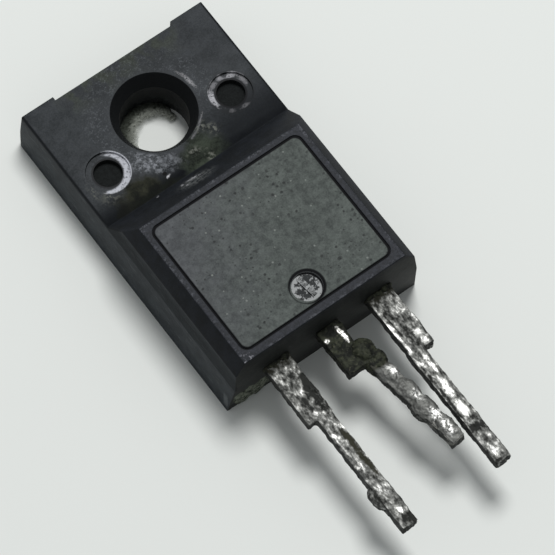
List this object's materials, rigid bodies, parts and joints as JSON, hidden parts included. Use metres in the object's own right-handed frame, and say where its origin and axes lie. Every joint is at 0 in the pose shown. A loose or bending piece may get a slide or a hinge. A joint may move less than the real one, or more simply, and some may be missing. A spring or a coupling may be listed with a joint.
{
  "type": "power transistor",
  "caption": "Fully insulated moulded power transistor with a screw tab and a row of cut leads, shown used and unsoldered.",
  "frame": {"origin": "axis of the screw hole, at the flat back face that is screwed to a heat sink", "axes": "+Z out of the front face along the screw hole, +Y from the leads towards the tab's end, +X to the right seen from the front with the tab up"},
  "size_m": [0.0104, 0.0259, 0.0045],
  "materials": {
    "moulding": "matte filled epoxy, scuffed and stained",
    "copper": "tinned copper, darkened outside the body",
    "tinned_lead": "tinned copper, dull with cut edges",
    "solder": "torn and crinkled tin solder",
    "silicon": "polished silicon with a metal top",
    "wire": "drawn aluminium",
    "flux": "burnt rosin, olive brown"
  },
  "bodies": {
    "root": {"body": "moulding", "heat_slug": "copper", "left_lead": "tinned_lead", "right_lead": "tinned_lead", "die_attach": "solder", "die": "silicon", "control_wire": "wire", "load_wires": "wire", "left_lead_solder": "solder", "centre_lead_solder": "solder", "right_lead_solder": "solder", "flux_crust": "flux"}
  },
  "joints": []
}
